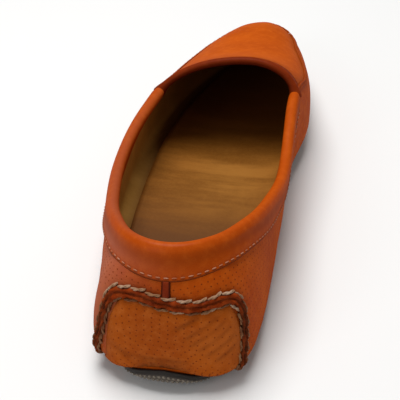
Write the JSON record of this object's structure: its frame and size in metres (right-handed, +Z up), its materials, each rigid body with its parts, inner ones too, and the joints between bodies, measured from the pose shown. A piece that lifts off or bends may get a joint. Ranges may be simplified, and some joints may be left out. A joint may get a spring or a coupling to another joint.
{
  "type": "driving loafer",
  "caption": "Slip-on driving loafer, left shoe: hollow leather moccasin upper with padded collar, hand-sewn heel seam and rubber pads under heel and forefoot.",
  "frame": {"origin": "floor under the middle of the shoe's bounding box", "axes": "+Y from heel to toe, +X to the inner side of the foot, +Z up"},
  "size_m": [0.0894, 0.2812, 0.0693],
  "materials": {
    "upper_leather": "smooth orange leather, soft sheen",
    "collar_leather": "smooth padded orange leather",
    "patch_leather": "perforated orange leather",
    "seam_leather": "pinched leather edge",
    "binding_leather": "dark red-brown leather",
    "insole_leather": "worn tan footbed",
    "pad_rubber": "pebbled dark rubber"
  },
  "bodies": {
    "root": {"upper": "upper_leather", "collar": "collar_leather", "throat_binding": "binding_leather", "apron_seam": "seam_leather", "heel_seam": "seam_leather", "heel_patch": "patch_leather", "back_strap": "binding_leather", "insole": "insole_leather", "heel_pad": "pad_rubber", "forefoot_pad": "pad_rubber"}
  },
  "joints": []
}
